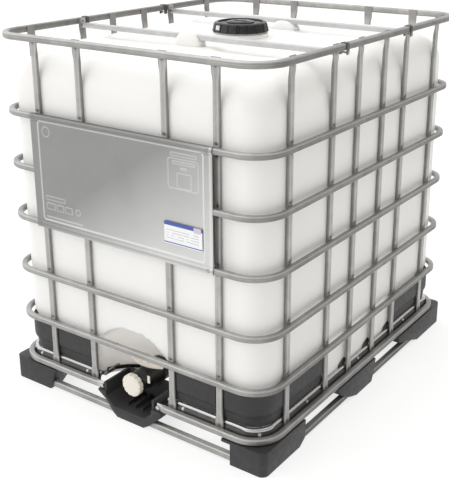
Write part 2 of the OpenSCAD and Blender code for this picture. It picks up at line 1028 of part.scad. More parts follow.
bottle();
lid_gasket();
screw_lid();
vent_gasket();
vent_plug();
seal_tab();
top_ring();
cage_ring_1();
cage_ring_2();
cage_ring_3();
cage_ring_4();
cage_ring_5();
bottom_ring();
front_uprights();
rear_uprights();
left_uprights();
right_uprights();
front_cross_bar();
rear_cross_bar();
bar_brackets();
bar_bolts();
label_plate();
plate_welds();
label_sticker();
protector_front_left();
protector_front_right();
protector_rear_left();
protector_rear_right();
base_tray();
deck_beams();
tray_rivets();
runner_ring();
foot_front_left();
foot_front_right();
foot_rear_left();
foot_rear_right();
foot_mid_left();
foot_mid_right();
foot_mid_rear();
foot_bolts();
valve_guard();
guard_bolts();
outlet_gasket();
union_nut();
valve_body();
valve_disc();
disc_seal();
valve_stem();
stem_seal();
valve_handle();
handle_screw();
dust_gasket();
dust_cap();
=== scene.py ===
import json
import math

import bmesh
import bpy
import numpy as np
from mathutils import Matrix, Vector


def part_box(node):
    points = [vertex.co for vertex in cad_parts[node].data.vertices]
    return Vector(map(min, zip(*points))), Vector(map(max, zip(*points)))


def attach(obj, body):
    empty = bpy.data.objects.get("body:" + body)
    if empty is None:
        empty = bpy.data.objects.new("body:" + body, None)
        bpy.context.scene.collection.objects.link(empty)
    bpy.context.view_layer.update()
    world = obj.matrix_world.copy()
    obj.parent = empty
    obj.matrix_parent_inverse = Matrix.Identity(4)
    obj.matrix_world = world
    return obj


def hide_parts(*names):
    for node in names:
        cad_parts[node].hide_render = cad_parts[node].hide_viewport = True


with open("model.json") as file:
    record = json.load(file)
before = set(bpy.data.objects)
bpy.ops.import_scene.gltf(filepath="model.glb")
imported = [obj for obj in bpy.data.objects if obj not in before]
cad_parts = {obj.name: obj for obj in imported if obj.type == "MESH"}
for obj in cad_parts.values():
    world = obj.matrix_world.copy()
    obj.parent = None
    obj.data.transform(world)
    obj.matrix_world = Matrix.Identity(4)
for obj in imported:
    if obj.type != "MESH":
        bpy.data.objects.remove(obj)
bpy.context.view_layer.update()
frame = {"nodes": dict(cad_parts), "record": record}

nodes = frame["nodes"]
MAIN = "container"
MM = 0.001


# -------------------- numbers from the frame

def clusters(node, axis, gap=20 * MM):
    """Middles of the separate solids of one CAD node along an axis."""
    values = sorted(v.co[axis] for v in nodes[node].data.vertices)
    groups = [[values[0]]]
    for value in values[1:]:
        if value - groups[-1][-1] > gap:
            groups.append([])
        groups[-1].append(value)
    return [(g[0] + g[-1]) / 2 for g in groups]


def middle(node):
    """Centre of a CAD node's box."""
    low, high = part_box(node)
    return (low + high) / 2


top_low, top_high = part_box("top_ring")
mid_low, mid_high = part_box("cage_ring_1")
EDGE_R = (top_high.z - top_low.z) / 2
TUBE_R = (mid_high.z - mid_low.z) / 2
# the cage's path runs through the middles of its tubes
RING_X = top_high.x - EDGE_R
RING_Y = top_high.y - EDGE_R
CORNER_R = 90 * MM
RING_Z = {name: middle(name).z for name in ("top_ring", "cage_ring_1", "cage_ring_2", "cage_ring_3",
                                            "cage_ring_4", "cage_ring_5", "bottom_ring")}
FRONT_XS = clusters("front_uprights", 0)
SIDE_YS = clusters("right_uprights", 1)
# how far in from the path the uprights reach, and how many mm in the tray's floor starts
WALL_IN = RING_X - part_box("right_uprights")[0].x
FLOOR_IN = 30.6
TRAY_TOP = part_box("base_tray")[1].z
FLOOR_Z = TRAY_TOP - 18 * MM
RUNNER_Z = middle("runner_ring").z
BAR_Y = middle("rear_cross_bar").y
VALVE = middle("dust_cap")
LID = middle("screw_lid")
NECK_R = 82 * MM
# place along Y of the middle of the bottle's round scoop
SCOOP_Y = -(RING_Y + 11 * MM)
# place of the rolled grooves up a tube's side, as a share of its radius
GROOVE_AT = 0.36

record = frame["record"]
body_of = {n: b for b, members in record["behaviour"]["bodies"].items() for n in members}
slot_of = {s["node"]: s["material_slot"] for s in record["subparts"]}


# -------------------- materials

class Shader:
    """A Principled material with a few helpers to lay out its nodes."""

    def __init__(self, name, **sockets):
        self.material = bpy.data.materials.new(name)
        self.material.use_nodes = True
        self.tree = self.material.node_tree
        self.bsdf = self.tree.nodes["Principled BSDF"]
        for key, value in sockets.items():
            self.bsdf.inputs[key.replace("_", " ")].default_value = value
        self.place = self.node("ShaderNodeTexCoord").outputs["Object"]

    def node(self, kind, links=None, **settings):
        """New node; a setting is a property of it or, failing that, the value of an input."""
        made = self.tree.nodes.new(kind)
        for key, value in settings.items():
            if hasattr(made, key):
                setattr(made, key, value)
            else:
                made.inputs[key.replace("_", " ")].default_value = value
        for key, source in (links or {}).items():
            self.tree.links.new(source, made.inputs[key])
        return made

    def feed(self, made, index, value):
        """Give an input either a link or a plain value."""
        if isinstance(value, bpy.types.NodeSocket):
            self.tree.links.new(value, made.inputs[index])
        else:
            made.inputs[index].default_value = value

    def noise(self, scale, detail=3.0, stretch=None, roughness=0.55):
        place = self.place
        if stretch:
            place = self.node("ShaderNodeMapping", {"Vector": place}, Scale=stretch).outputs[0]
        return self.node("ShaderNodeTexNoise", {"Vector": place}, Scale=scale, Detail=detail,
                         Roughness=roughness).outputs["Fac"]

    def ramp(self, source, low, high, start=0.3, end=0.7):
        made = self.node("ShaderNodeValToRGB", {"Fac": source})
        for stop, place, value in zip(made.color_ramp.elements, (start, end), (low, high)):
            stop.position = place
            stop.color = tone(value)
        return made.outputs["Color"]

    def mix(self, amount, first, second):
        made = self.node("ShaderNodeMix", data_type="RGBA")
        self.feed(made, 0, amount)
        for index, value in ((6, first), (7, second)):
            self.feed(made, index, value if isinstance(value, bpy.types.NodeSocket) else tone(value))
        return made.outputs[2]

    def math(self, operation, first, second=0.0):
        made = self.node("ShaderNodeMath", operation=operation)
        self.feed(made, 0, first)
        self.feed(made, 1, second)
        return made.outputs[0]

    def between(self, value, low, high):
        """1 where the value lies between two limits, else 0."""
        over = self.math("GREATER_THAN", value, low)
        return self.math("MULTIPLY", over, self.math("LESS_THAN", value, high))

    def fractions(self, low, high):
        """How far up a box a point is, and how far across it, from 0 to 1."""
        axes = self.node("ShaderNodeSeparateXYZ", {"Vector": self.place}).outputs
        height = self.math("DIVIDE", self.math("SUBTRACT", axes[2], low.z), high.z - low.z)
        across = self.math("DIVIDE", self.math("SUBTRACT", axes[0], low.x), high.x - low.x)
        return height, across

    def attribute(self, name):
        return self.node("ShaderNodeAttribute", attribute_name=name).outputs["Fac"]

    def set(self, socket, source):
        self.tree.links.new(source, self.bsdf.inputs[socket])

    def surface(self, rough, grain=None):
        """Finish the material.

        Rough is (noise scale, detail, lowest, highest roughness); grain is (noise scale, detail,
        depth in m, strength) of its bumps.
        """
        scale, detail, low, high = rough
        self.set("Roughness", self.ramp(self.noise(scale, detail), low, high))
        if grain:
            scale, detail, depth, strength = grain
            made = self.node("ShaderNodeBump", {"Height": self.noise(scale, detail)},
                             Strength=strength, Distance=depth)
            self.set("Normal", made.outputs[0])
        return self.material


def tone(value):
    """Colour with alpha from a grey level or three channels."""
    if isinstance(value, (int, float)):
        return (value, value, value, 1.0)
    return (*value, 1.0)


def galvanised(name, dark, light, spangle=38.0, metallic=0.9, rough=(0.34, 0.52), marks=True):
    """Hot-dip or strip galvanised steel: crystal spangle, cloudy oxidation and a fine grain.

    Marks let the mesh darken it with real weld marks and with painted shade in grooves, under the tubes and
    along their sides, and brighten it with painted highlights.
    """
    s = Shader(name, Metallic=metallic)
    grains = s.node("ShaderNodeTexVoronoi", {"Vector": s.place}, Scale=spangle).outputs["Color"]
    grey = s.node("ShaderNodeSeparateColor", {"Color": grains}).outputs[0]
    cloud = s.noise(7.0, 5.0)
    body = s.mix(0.35, s.ramp(cloud, dark, light, 0.32, 0.68), s.ramp(grey, dark, light, 0.0, 1.0))
    if marks:
        # painted shade and dark weld marks darken the colour, and painted highlights lighten it
        body = s.mix(s.attribute("scorch_and_shade"), body, (0.045, 0.043, 0.042))
        body = s.mix(s.attribute("painted_highlight"), body, (0.83, 0.83, 0.82))
    s.set("Base Color", body)
    return s.surface((26.0, 4.0, *rough), (240.0, 2.0, 0.0004, 0.35))


def black_plastic(name, base=0.022, sheen=0.42):
    """Moulded black polyethylene: pebbled skin, cloudy tone and pale scuffs."""
    s = Shader(name, Specular_IOR_Level=0.42)
    cloud = s.noise(5.0, 5.0)
    scuff = s.math("MULTIPLY", s.ramp(s.noise(38.0, 6.0), 0.0, 1.0, 0.55, 0.8),
                   s.ramp(s.noise(9.0, 2.0), 0.0, 0.55, 0.45, 0.7))
    body = s.mix(cloud, (base, base, base * 1.05), (base * 1.6, base * 1.6, base * 1.66))
    s.set("Base Color", s.mix(scuff, body, (0.085, 0.084, 0.082)))
    return s.surface((60.0, 3.0, sheen, sheen + 0.16), (420.0, 2.0, 0.0003, 0.4))


def milky_plastic(name):
    """Natural blow-moulded polyethylene: waxy, cloudy and slightly translucent.

    Shade, a mask from the mesh, paints the scoop lighter and warmer and gives it a faint glow: painted light
    where the scoop lies in shade.
    """
    s = Shader(name, Roughness=0.38, Subsurface_Weight=0.35, Subsurface_Radius=(0.6, 0.5, 0.4),
               Subsurface_Scale=0.03, Specular_IOR_Level=0.4, Emission_Color=(1.0, 0.96, 0.91, 1.0))
    body = s.mix(s.noise(2.2, 4.0), (0.86, 0.855, 0.835), (0.90, 0.897, 0.882))
    # painted light: the scoop is made lighter and warmer and glows a little
    s.set("Base Color", s.mix(s.attribute("shade"), body, (0.965, 0.935, 0.90)))
    s.set("Emission Strength", s.math("MULTIPLY", s.attribute("shade"), 0.15))
    return s.surface((12.0, 3.0, 0.32, 0.46), (9.0, 3.0, 0.004, 0.25))


def cream_plastic(name):
    """Moulded cream polypropylene of the cap, handle and tag."""
    s = Shader(name, Specular_IOR_Level=0.45)
    s.set("Base Color", s.mix(s.noise(60.0, 4.0), (0.78, 0.73, 0.64), (0.84, 0.80, 0.72)))
    return s.surface((90.0, 3.0, 0.36, 0.5), (500.0, 2.0, 0.0002, 0.3))


def rubber(name):
    """Dull black rubber of the seals."""
    s = Shader(name)
    s.set("Base Color", s.mix(s.noise(80.0, 3.0), (0.02, 0.02, 0.02), (0.045, 0.045, 0.045)))
    return s.surface((120.0, 3.0, 0.6, 0.78), (600.0, 2.0, 0.0002, 0.4))


def sticker(name, low, high):
    """Printed plastic label: blue head and foot, a grey-pink badge and broken grey rules, with no lettering.
    """
    s = Shader(name, Specular_IOR_Level=0.5)
    height, across = s.fractions(low, high)
    head = s.math("GREATER_THAN", height, 0.84)
    badge = s.math("MULTIPLY", s.between(across, 0.78, 0.97), s.math("GREATER_THAN", height, 0.76))
    foot = s.between(height, 0.04, 0.09)
    rows = s.math("GREATER_THAN", s.math("SINE", s.math("MULTIPLY", height, 52.0)), 0.45)
    broken = s.math("GREATER_THAN", s.noise(60.0, 1.0, (1.0, 0.01, 2.6)), 0.40)
    field = s.math("MULTIPLY", s.between(height, 0.16, 0.74), s.between(across, 0.06, 0.92))
    rules = s.math("MULTIPLY", s.math("MULTIPLY", rows, broken), field)
    paper = s.mix(s.math("MULTIPLY", rules, 0.55), (0.86, 0.87, 0.88), (0.35, 0.37, 0.40))
    paper = s.mix(s.math("MAXIMUM", head, foot), paper, (0.055, 0.10, 0.40))
    paper = s.mix(badge, paper, (0.60, 0.55, 0.62))
    s.set("Base Color", paper)
    return s.surface((40.0, 3.0, 0.3, 0.42))


def sheet_steel(name, low, high):
    """Smooth galvanised sheet with a painted reflection, darkest in its upper left corner and lightest in
    its lower right one.
    """
    s = Shader(name, Metallic=0.55)
    height, across = s.fractions(low, high)
    # painted reflection: tone slopes from dark upper left to light lower right, with some noise
    slope = s.math("SUBTRACT", s.math("MULTIPLY", across, 1.05), s.math("MULTIPLY", height, 0.85))
    painted_light = s.math("ADD", slope, s.math("MULTIPLY", s.noise(3.0, 3.0), 0.3))
    body = s.ramp(painted_light, (0.285, 0.290, 0.280), (0.64, 0.64, 0.63), 0.12, 0.92)
    # painted highlights along pressed ridges, then darker hem bands and weld marks
    body = s.mix(s.attribute("painted_highlight"), body, (0.86, 0.86, 0.85))
    body = s.mix(s.attribute("scorch_and_shade"), body, (0.16, 0.16, 0.155))
    s.set("Base Color", body)
    return s.surface((14.0, 4.0, 0.42, 0.56), (300.0, 2.0, 0.0003, 0.25))


plate_low, plate_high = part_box("label_plate")
tube_steel = galvanised("tube_steel", (0.31, 0.305, 0.295), (0.48, 0.475, 0.46), metallic=0.55)
dark_steel = galvanised("dark_steel", (0.07, 0.068, 0.064), (0.13, 0.127, 0.12), metallic=0.6, marks=False)
bright_steel = galvanised("bright_steel", 0.50, 0.60, rough=(0.16, 0.24), marks=False)
bar_steel = galvanised("bar_steel", 0.50, 0.62, rough=(0.36, 0.5), marks=False)
plate_steel = sheet_steel("plate_steel", plate_low, plate_high)
tray_steel = galvanised("tray_steel", 0.30, 0.46, spangle=30.0)
zinc = galvanised("zinc", 0.45, 0.65, spangle=140.0, rough=(0.25, 0.4), marks=False)
black = black_plastic("black_polyethylene")
black_gloss = black_plastic("black_moulding", 0.013, 0.26)
white = milky_plastic("milky_polyethylene")
cream = cream_plastic("cream_polypropylene")
seal = rubber("seal_rubber")


# -------------------- mesh helpers

def add_object(name, data):
    made = bpy.data.objects.new(name, data)
    bpy.context.scene.collection.objects.link(made)
    return made


def shade_smooth(mesh, sharp):
    """Smooth faces, with a hard edge where two of them turn by more than sharp degrees."""
    mesh.polygons.foreach_set("use_smooth", [True] * len(mesh.polygons))
    mesh.set_sharp_from_angle(angle=math.radians(sharp))


def piece(name, verts, faces, material, slot, body=MAIN, replaces=(), sharp=35.0, marks=None):
    """Mesh that rides on a body; marks are values per vertex for its material to read."""
    mesh = bpy.data.meshes.new(name)
    mesh.from_pydata([tuple(map(float, v)) for v in verts], [], faces)
    mesh.validate()
    mesh.materials.append(material)
    for key, values in (marks or {}).items():
        mesh.attributes.new(key, "FLOAT", "POINT").data.foreach_set("value", np.asarray(values, np.float32))
    bm = bmesh.new()
    bm.from_mesh(mesh)
    bmesh.ops.recalc_face_normals(bm, faces=bm.faces)
    bm.to_mesh(mesh)
    bm.free()
    shade_smooth(mesh, sharp)
    made = add_object(name, mesh)
    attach(made, body)
    if replaces:
        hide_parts(*replaces)


def loft(rows, closed=True, looped=False):
    """Vertices and faces through rows of points.

    Closed joins the ends of each row, and looped joins the last row to the first.
    """
    rows = np.asarray(rows, float)
    count, width = rows.shape[:2]
    faces = []
    for i in range(count if looped else count - 1):
        j = (i + 1) % count
        for k in range(width if closed else width - 1):
            m = (k + 1) % width
            faces.append((i * width + k, i * width + m, j * width + m, j * width + k))
    if closed and not looped:
        faces.append(tuple(reversed(range(width))))
        faces.append(tuple((count - 1) * width + k for k in range(width)))
    return rows.reshape(-1, 3), faces


def lofted(name, rows, material, slot, looped=False, **rest):
    """Piece whose skin runs through closed rows of points."""
    verts, faces = loft(rows, looped=looped)
    piece(name, verts, faces, material, slot, **rest)


def join(parts):
    """One vertex and face list out of several."""
    verts, faces, at = [], [], 0
    for v, f in parts:
        verts.append(np.asarray(v, float))
        faces += [tuple(i + at for i in face) for face in f]
        at += len(v)
    return np.concatenate(verts), faces


def box_piece(name, low, high, material, slot, width, replaces=()):
    """Box with its edges bevelled by a width."""
    bm = bmesh.new()
    bmesh.ops.create_cube(bm, size=1.0)
    for v in bm.verts:
        v.co = Vector([(a + b) / 2 + c * (b - a) for a, b, c in zip(low, high, v.co)])
    bmesh.ops.bevel(bm, geom=list(bm.edges), offset=width, segments=2, affect="EDGES", clamp_overlap=True)
    verts = [tuple(v.co) for v in bm.verts]
    bm.verts.index_update()
    faces = [tuple(v.index for v in f.verts) for f in bm.faces]
    bm.free()
    piece(name, verts, faces, material, slot, replaces=replaces)


def lathe(name, profile, centre, axis, material, slot, segments=64, ripple=None, **rest):
    """Turned ring about Y or Z.

    Profile is (radius in mm, place along the axis in m), and ripple(angles, index) adds mm to a radius.
    """
    angles = np.linspace(0, 2 * math.pi, segments, endpoint=False)
    rows = []
    for index, (r, t) in enumerate(profile):
        radii = np.full(segments, r * MM)
        if ripple is not None:
            radii = radii + ripple(angles, index) * MM
        a, b = radii * np.cos(angles), radii * np.sin(angles)
        along = np.full(segments, t)
        if axis == "Z":
            rows.append(np.column_stack([centre[0] + a, centre[1] + b, along]))
        else:
            rows.append(np.column_stack([centre[0] + a, along, centre[2] + b]))
    lofted(name, rows, material, slot, looped=True, **rest)


def bump_at(distance, width):
    """Soft bell of height 1 over a distance of 0."""
    return np.exp(-(distance / width) ** 2)


def smooth(value, low, high):
    """Soft step from 0 at low to 1 at high."""
    t = np.clip((value - low) / (high - low), 0, 1)
    return t * t * (3 - 2 * t)


# -------------------- paths around the cage

def straight(a, b, step):
    """Evenly spaced places from a up to, and without, b."""
    count = max(2, int(abs(b - a) / step))
    return [a + (b - a) * i / count for i in range(count)]


def cage_path(inset, step=9 * MM, arc=16):
    """Points and outward normals around the cage, anticlockwise from the front middle."""
    x, y, r = RING_X - inset, RING_Y - inset, CORNER_R - inset
    points, normals = [], []

    def side(fixed, normal, start, end, along):
        for t in straight(start, end, step):
            points.append((t, fixed) if along == 0 else (fixed, t))
            normals.append(normal)

    def corner(cx, cy, first):
        for i in range(arc):
            a = math.radians(first + 90 * i / arc)
            points.append((cx + r * math.cos(a), cy + r * math.sin(a)))
            normals.append((math.cos(a), math.sin(a)))

    side(-y, (0, -1), 0.0, x - r, 0)
    corner(x - r, -(y - r), 270)
    side(x, (1, 0), -(y - r), y - r, 1)
    corner(x - r, y - r, 0)
    side(y, (0, 1), x - r, -(x - r), 0)
    corner(-(x - r), y - r, 90)
    side(-x, (-1, 0), y - r, -(y - r), 1)
    corner(-(x - r), -(y - r), 180)
    side(-y, (0, -1), -(x - r), 0.0, 0)
    return np.array(points), np.array(normals, float)


def leave_open(points, normals, front, half):
    """The path without its part in front of a depth and within half a width of the middle."""
    keep = ~((points[:, 1] < front) & (np.abs(points[:, 0]) < half))
    return points[keep], normals[keep]


def inward(point, normal, k, z):
    """Place k mm in from a point of the path, at height z."""
    return (point[0] - normal[0] * k * MM, point[1] - normal[1] * k * MM, z)


def crossings():
    """Where the uprights cross the rings, as points on the ring centreline."""
    spots = [(x, s * RING_Y) for x in FRONT_XS for s in (-1, 1)]
    return np.array(spots + [(s * RING_X, y) for y in SIDE_YS for s in (-1, 1)])


# -------------------- cage tubes

def tube_loop(radius, count=44, power=3.34):
    """Roll-formed tube section, out and up from its centre, with rolled grooves on its outer face."""
    angles = np.linspace(0, 2 * math.pi, count, endpoint=False)
    c, w = np.cos(angles), np.sin(angles)
    out = radius * np.sign(c) * np.abs(c) ** (2 / power)
    up = radius * np.sign(w) * np.abs(w) ** (2 / power)
    outer = (c > 0.25).astype(float)
    upper = (w > 0.25).astype(float)
    rolled = bump_at(np.abs(up) - GROOVE_AT * radius, 0.13 * radius)
    out = out - 0.09 * radius * rolled * outer
    up = up - 0.06 * radius * bump_at(out - 0.1 * radius, 0.16 * radius) * upper
    return out, up


def ring(name, node, z, radius, dents=True, gap=None, inset=0.0, painted_light=0.45):
    """A tube ring: grooved section, flattened where the uprights cross, pinched at open ends.

    Its last argument sets how dark the painted shade is along the long sides, against the short ones.
    """
    points, normals = cage_path(inset)
    if gap:
        points, normals = leave_open(points, normals, 0, gap)
    spots = crossings()
    out0, up0 = tube_loop(radius)
    rows, scorch_and_shade, painted_highlight = [], [], []
    for point, normal in zip(points, normals):
        near = np.linalg.norm(spots - point, axis=1).min() if dents else math.inf
        flat = 0.07 * bump_at(near, 13 * MM)
        pinch = 0.0
        if gap and point[1] < 0:
            pinch = bump_at(max(0.0, abs(point[0]) - gap - 10 * MM), 14 * MM)
        out = out0 * (1 - flat) * (1 - 0.82 * pinch)
        up = up0 * (1 + 0.25 * flat) * (1 + 0.22 * pinch)
        rows.append([(point[0] + normal[0] * o, point[1] + normal[1] * o, z + u) for o, u in zip(out, up)])
        # painted shade: darker in the outer grooves, under the tube and along the long sides
        groove = bump_at(np.abs(up0) - GROOVE_AT * radius, 0.15 * radius) * (out0 > 0)
        under = smooth(-up0, 0.35 * radius, 0.95 * radius)
        side_shade = np.full(len(out0), painted_light * normal[0] ** 2)
        scorch_and_shade += list(np.maximum.reduce([0.30 * groove, 0.42 * under, side_shade + 0.2 * groove]))
        # painted highlight on the tube's crown, and lighter pinched ends
        crown = bump_at(up0 - 0.72 * radius, 0.22 * radius) * (out0 > 0)
        painted_highlight += list(np.maximum(0.75 * pinch, 0.30 * crown))
    lofted(name, rows, tube_steel, "steel", looped=not gap, replaces=(node,),
           marks={"scorch_and_shade": scorch_and_shade, "painted_highlight": painted_highlight})


def section(width, depth, r, count=5):
    """Rounded rectangle seen along an upright: 0 to -depth across the wall, width along it."""
    loop = []
    for cx, cy, first in ((-r, width / 2 - r, 0), (-depth + r, width / 2 - r, 90),
                          (-depth + r, -width / 2 + r, 180), (-r, -width / 2 + r, 270)):
        for i in range(count):
            a = math.radians(first + 90 * i / (count - 1))
            loop.append((cx + r * math.cos(a), cy + r * math.sin(a)))
    flat = width / 2 - r
    loop += [(0.0, flat * t) for t in (-0.66, -0.33, 0.0, 0.33, 0.66)]
    return np.array(loop)


def upright(turn, x, y):
    """One tube with both ends pinched into tabs and a welding dimple next to every ring."""
    low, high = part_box("right_uprights")
    z0, z1 = low.z, high.z
    welds = [z + side * 14 * MM for z in RING_Z.values() for side in (-1, 1)]
    # rows lie closer together at every weld and at both ends
    by_weld = {z + d * MM for z in welds for d in (-9, -6, -4, -2, 0, 2, 4, 6, 9)}
    heights = {z for z in by_weld if z0 + 2 * MM < z < z1 - 3 * MM}
    heights |= {z0 + d * MM for d in (0, 24, 32, 42, 54, 64)}
    heights |= {z1 - d * MM for d in (66, 56, 44, 34, 28, 2, 0)}
    heights |= set(np.arange(z0 + 90 * MM, z1 - 90 * MM, 40 * MM))
    rows, scorch_and_shade, painted_highlight = [], [], []
    for z in sorted(heights):
        pinch = float(smooth(-(z - z0), -62 * MM, -30 * MM) + smooth(z, z1 - 64 * MM, z1 - 32 * MM))
        width = (22 + 8 * pinch) * MM
        depth = (11 - 8 * pinch) * MM
        loop = section(width, depth, (4.2 - 3.0 * pinch) * MM)
        crease = 2.6 * MM * math.sin(math.pi * pinch) * np.clip(1 - np.abs(loop[:, 1]) / (width / 2), 0, 1)
        near = min(abs(z - w) for w in welds)
        face = loop[:, 0] > -depth / 2
        dimple = 4.0 * MM * bump_at(near, 4.5 * MM) * bump_at(loop[:, 1], 6 * MM) * face * (1 - pinch)
        px = loop[:, 0] - MM * pinch - crease * face - dimple
        rows.append(np.column_stack([px, loop[:, 1], np.full(len(loop), z)]))
        # dark weld marks in the pits, and painted shade along both edges
        pit = 0.8 * bump_at(near, 4.0 * MM) * bump_at(loop[:, 1], 6 * MM) * face
        flank = 0.35 * smooth(np.abs(loop[:, 1]), 0.36 * width, 0.5 * width)
        scorch_and_shade += list(np.maximum(pit, flank))
        # painted highlight in two strips down the outer face
        painted_highlight += list(0.22 * bump_at(np.abs(loop[:, 1]) - 0.28 * width, 0.09 * width) * face)
    rows = np.array(rows)
    c, s = math.cos(turn), math.sin(turn)
    placed = np.stack([x + c * rows[..., 0] - s * rows[..., 1], y + s * rows[..., 0] + c * rows[..., 1],
                       rows[..., 2]], -1)
    return (*loft(placed), scorch_and_shade, painted_highlight)


def upright_row(side, places):
    """The uprights of one side, as one piece."""
    parts = [upright(*place) for place in places]
    verts, faces = join([p[:2] for p in parts])
    piece(f"{side}_tubes", verts, faces, tube_steel, "steel", replaces=(f"{side}_uprights",),
          marks={"scorch_and_shade": sum((p[2] for p in parts), []), "painted_highlight": sum((p[3] for p in parts), [])})


def build_cage():
    ring("top_tube", "top_ring", RING_Z["top_ring"], EDGE_R)
    for i in range(1, 6):
        ring(f"ring_tube_{i}", f"cage_ring_{i}", RING_Z[f"cage_ring_{i}"], TUBE_R)
    ring("bottom_tube", "bottom_ring", RING_Z["bottom_ring"], EDGE_R, gap=104 * MM)
    ring("runner_tube", "runner_ring", RUNNER_Z, 11 * MM, dents=False, inset=6 * MM, painted_light=0.7)
    out_x, out_y = RING_X - TUBE_R, RING_Y - TUBE_R
    upright_row("front", [(-math.pi / 2, x, -out_y) for x in FRONT_XS])
    upright_row("rear", [(math.pi / 2, x, out_y) for x in FRONT_XS])
    upright_row("left", [(math.pi, -out_x, y) for y in SIDE_YS])
    upright_row("right", [(0.0, out_x, y) for y in SIDE_YS])


# -------------------- bottle

def outline(inset, corner, marks_x, marks_y, arc=12):
    """Rounded rectangle through fixed fractions of its sides, so loops of any size match up."""
    x, y = RING_X - inset, RING_Y - inset
    r = min(corner, x - MM, y - MM)
    loop = []
    for sx, sy, first, marks in ((1, -1, 270, marks_y), (1, 1, 0, marks_x[::-1]),
                                 (-1, 1, 90, marks_y[::-1]), (-1, -1, 180, marks_x)):
        for i in range(arc + 1):
            a = math.radians(first + 90 * i / arc)
            loop.append((sx * (x - r) + r * math.cos(a), sy * (y - r) + r * math.sin(a)))
        ex, ey = loop[-1]
        for m in marks:
            loop.append((ex, m * (y - r)) if sx * sy < 0 else (m * (x - r), ey))
    return np.array(loop)


def bottle_rows(base, top, wall, shoulder):
    """Points of the bottle's skin, row by row from its base up to the inside of its neck."""
    base_k, low_k = 32.5 * MM, 26.5 * MM
    fine = np.arange(-190, 191, 8) / 400
    marks_x = np.concatenate([np.linspace(-0.94, -0.5, 8), fine, np.linspace(0.5, 0.94, 8)])
    marks_x = sorted(set(np.round(marks_x, 4)))
    marks_y = list(np.linspace(-0.96, 0.96, 56))
    waist = RING_Z["cage_ring_5"]
    # rows lie closer together up to here, where the scoop ends
    fine_top, coarse_base = 0.32, 0.34
    levels = [(base, base_k), (base + 2 * MM, base_k - 1 * MM), (base + 17 * MM, base_k),
              (base + 22 * MM, low_k)]
    levels += [(z, low_k) for z in np.arange(base + 30 * MM, waist + 2 * MM, 8 * MM)]
    levels += [(z, wall) for z in np.arange(waist + 9 * MM, fine_top, 8 * MM)]
    levels += [(z, wall) for z in np.arange(coarse_base, top - shoulder - 5 * MM, 22 * MM)]
    loops = [(z, k, CORNER_R - 0.9 * k) for z, k in levels]
    for i in range(13):
        a = math.radians(90 * i / 12)
        k = wall + shoulder * (1 - math.cos(a))
        corner = CORNER_R - wall + 0.55 * (k - wall) + 4 * MM
        loops.append((top - shoulder + shoulder * math.sin(a), k, corner))
    rows = []
    for z, k, r in loops:
        loop = outline(k, r, marks_x, marks_y)
        rows.append(np.column_stack([loop, np.full(len(loop), z)]))
    # the flat top closes in from the shoulder's edge to the neck
    edge = rows[-1]
    angle = np.arctan2(edge[:, 1], edge[:, 0])
    circle = np.column_stack([NECK_R * np.cos(angle), NECK_R * np.sin(angle)])
    for t in list(np.linspace(0.03, 0.93, 26)) + [0.97]:
        rows.append(np.column_stack([edge[:, :2] * (1 - t) + circle * 1.09 * t, np.full(len(edge), top)]))
    for r, z in ((1.075, 1 * MM), (1.07, 3 * MM), (1.07, 11 * MM), (1.06, 13.5 * MM), (1.0, 14 * MM),
                 (0.995, 16 * MM), (0.995, 37 * MM), (0.97, 38 * MM), (0.91, 37 * MM), (0.91, -20 * MM)):
        rows.append(np.column_stack([circle * r, np.full(len(edge), top + z)]))
    return np.array(rows)


def build_bottle():
    low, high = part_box("bottle")
    top = high.z - 43 * MM
    wall = WALL_IN + 0.6 * MM
    shoulder = 100 * MM
    rows = bottle_rows(low.z, top, wall, shoulder)
    x, y, z = rows[..., 0], rows[..., 1], rows[..., 2]
    # shallow channels under both cross bars, running over the shoulders
    channel = smooth(-np.abs(np.abs(y) - BAR_Y), -46 * MM, -24 * MM)
    off_neck = np.hypot(x, y) > 120 * MM
    on_top = smooth(z, top - 160 * MM, top - 60 * MM) * off_neck
    away = smooth(np.abs(x), 60 * MM, 110 * MM)
    drop = 9 * MM * channel * on_top * away
    tilt = np.clip((np.abs(x) - (RING_X - wall - shoulder)) / shoulder, 0, 1)
    rows[..., 0] -= np.sign(x) * drop * tilt
    rows[..., 2] -= drop * np.sqrt(1 - tilt ** 2)
    # the long walls ripple slightly along their length
    foot, rise, waves = 0.25, 0.75, 24
    on_wall = (z > foot) * (z < top - shoulder) * (np.abs(x) > RING_X - 60 * MM)
    swell = 0.6 * MM * np.sin(math.pi * np.clip((z - foot) / rise, 0, 1)) * np.cos(y * waves)
    rows[..., 0] += swell * np.sign(x) * on_wall
    # scoop that clears the valve
    centre = Vector((0, SCOOP_Y, 130 * MM))
    radius = 170 * MM
    chord = np.sqrt(np.clip(radius ** 2 - (x - centre.x) ** 2 - (z - centre.z) ** 2, 0, None))
    push = centre.y + chord - y
    front_wall = y < -0.45
    depth = np.where(front_wall & (chord > 0) & (push > 0), push, 0)
    # mask of the scoop for its painted light: lighter, warmer and faintly glowing
    shade = 0.8 * smooth(chord, 20 * MM, 60 * MM) * (depth > 0)
    rows[..., 1] += depth
    lofted("bottle_shell", rows, white, "hdpe_white", replaces=("bottle",), sharp=60,
           marks={"shade": shade.reshape(-1)})
    # outlet stub at the back of the scoop
    y0, y1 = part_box("outlet_gasket")[1].y, centre.y + radius + 6 * MM
    stub = [(25, y0), (31, y0), (31, y0 + 4 * MM), (33, y1 - 10 * MM), (40, y1 - 3 * MM), (25, y1)]
    lathe("bottle_outlet", stub, (0, 0, VALVE.z), "Y", white, "hdpe_white")
    build_bar_lug("front_bar_lug", -25 * MM, -BAR_Y, top, 43)
    build_bar_lug("rear_bar_lug", 25 * MM, BAR_Y, top, 28)


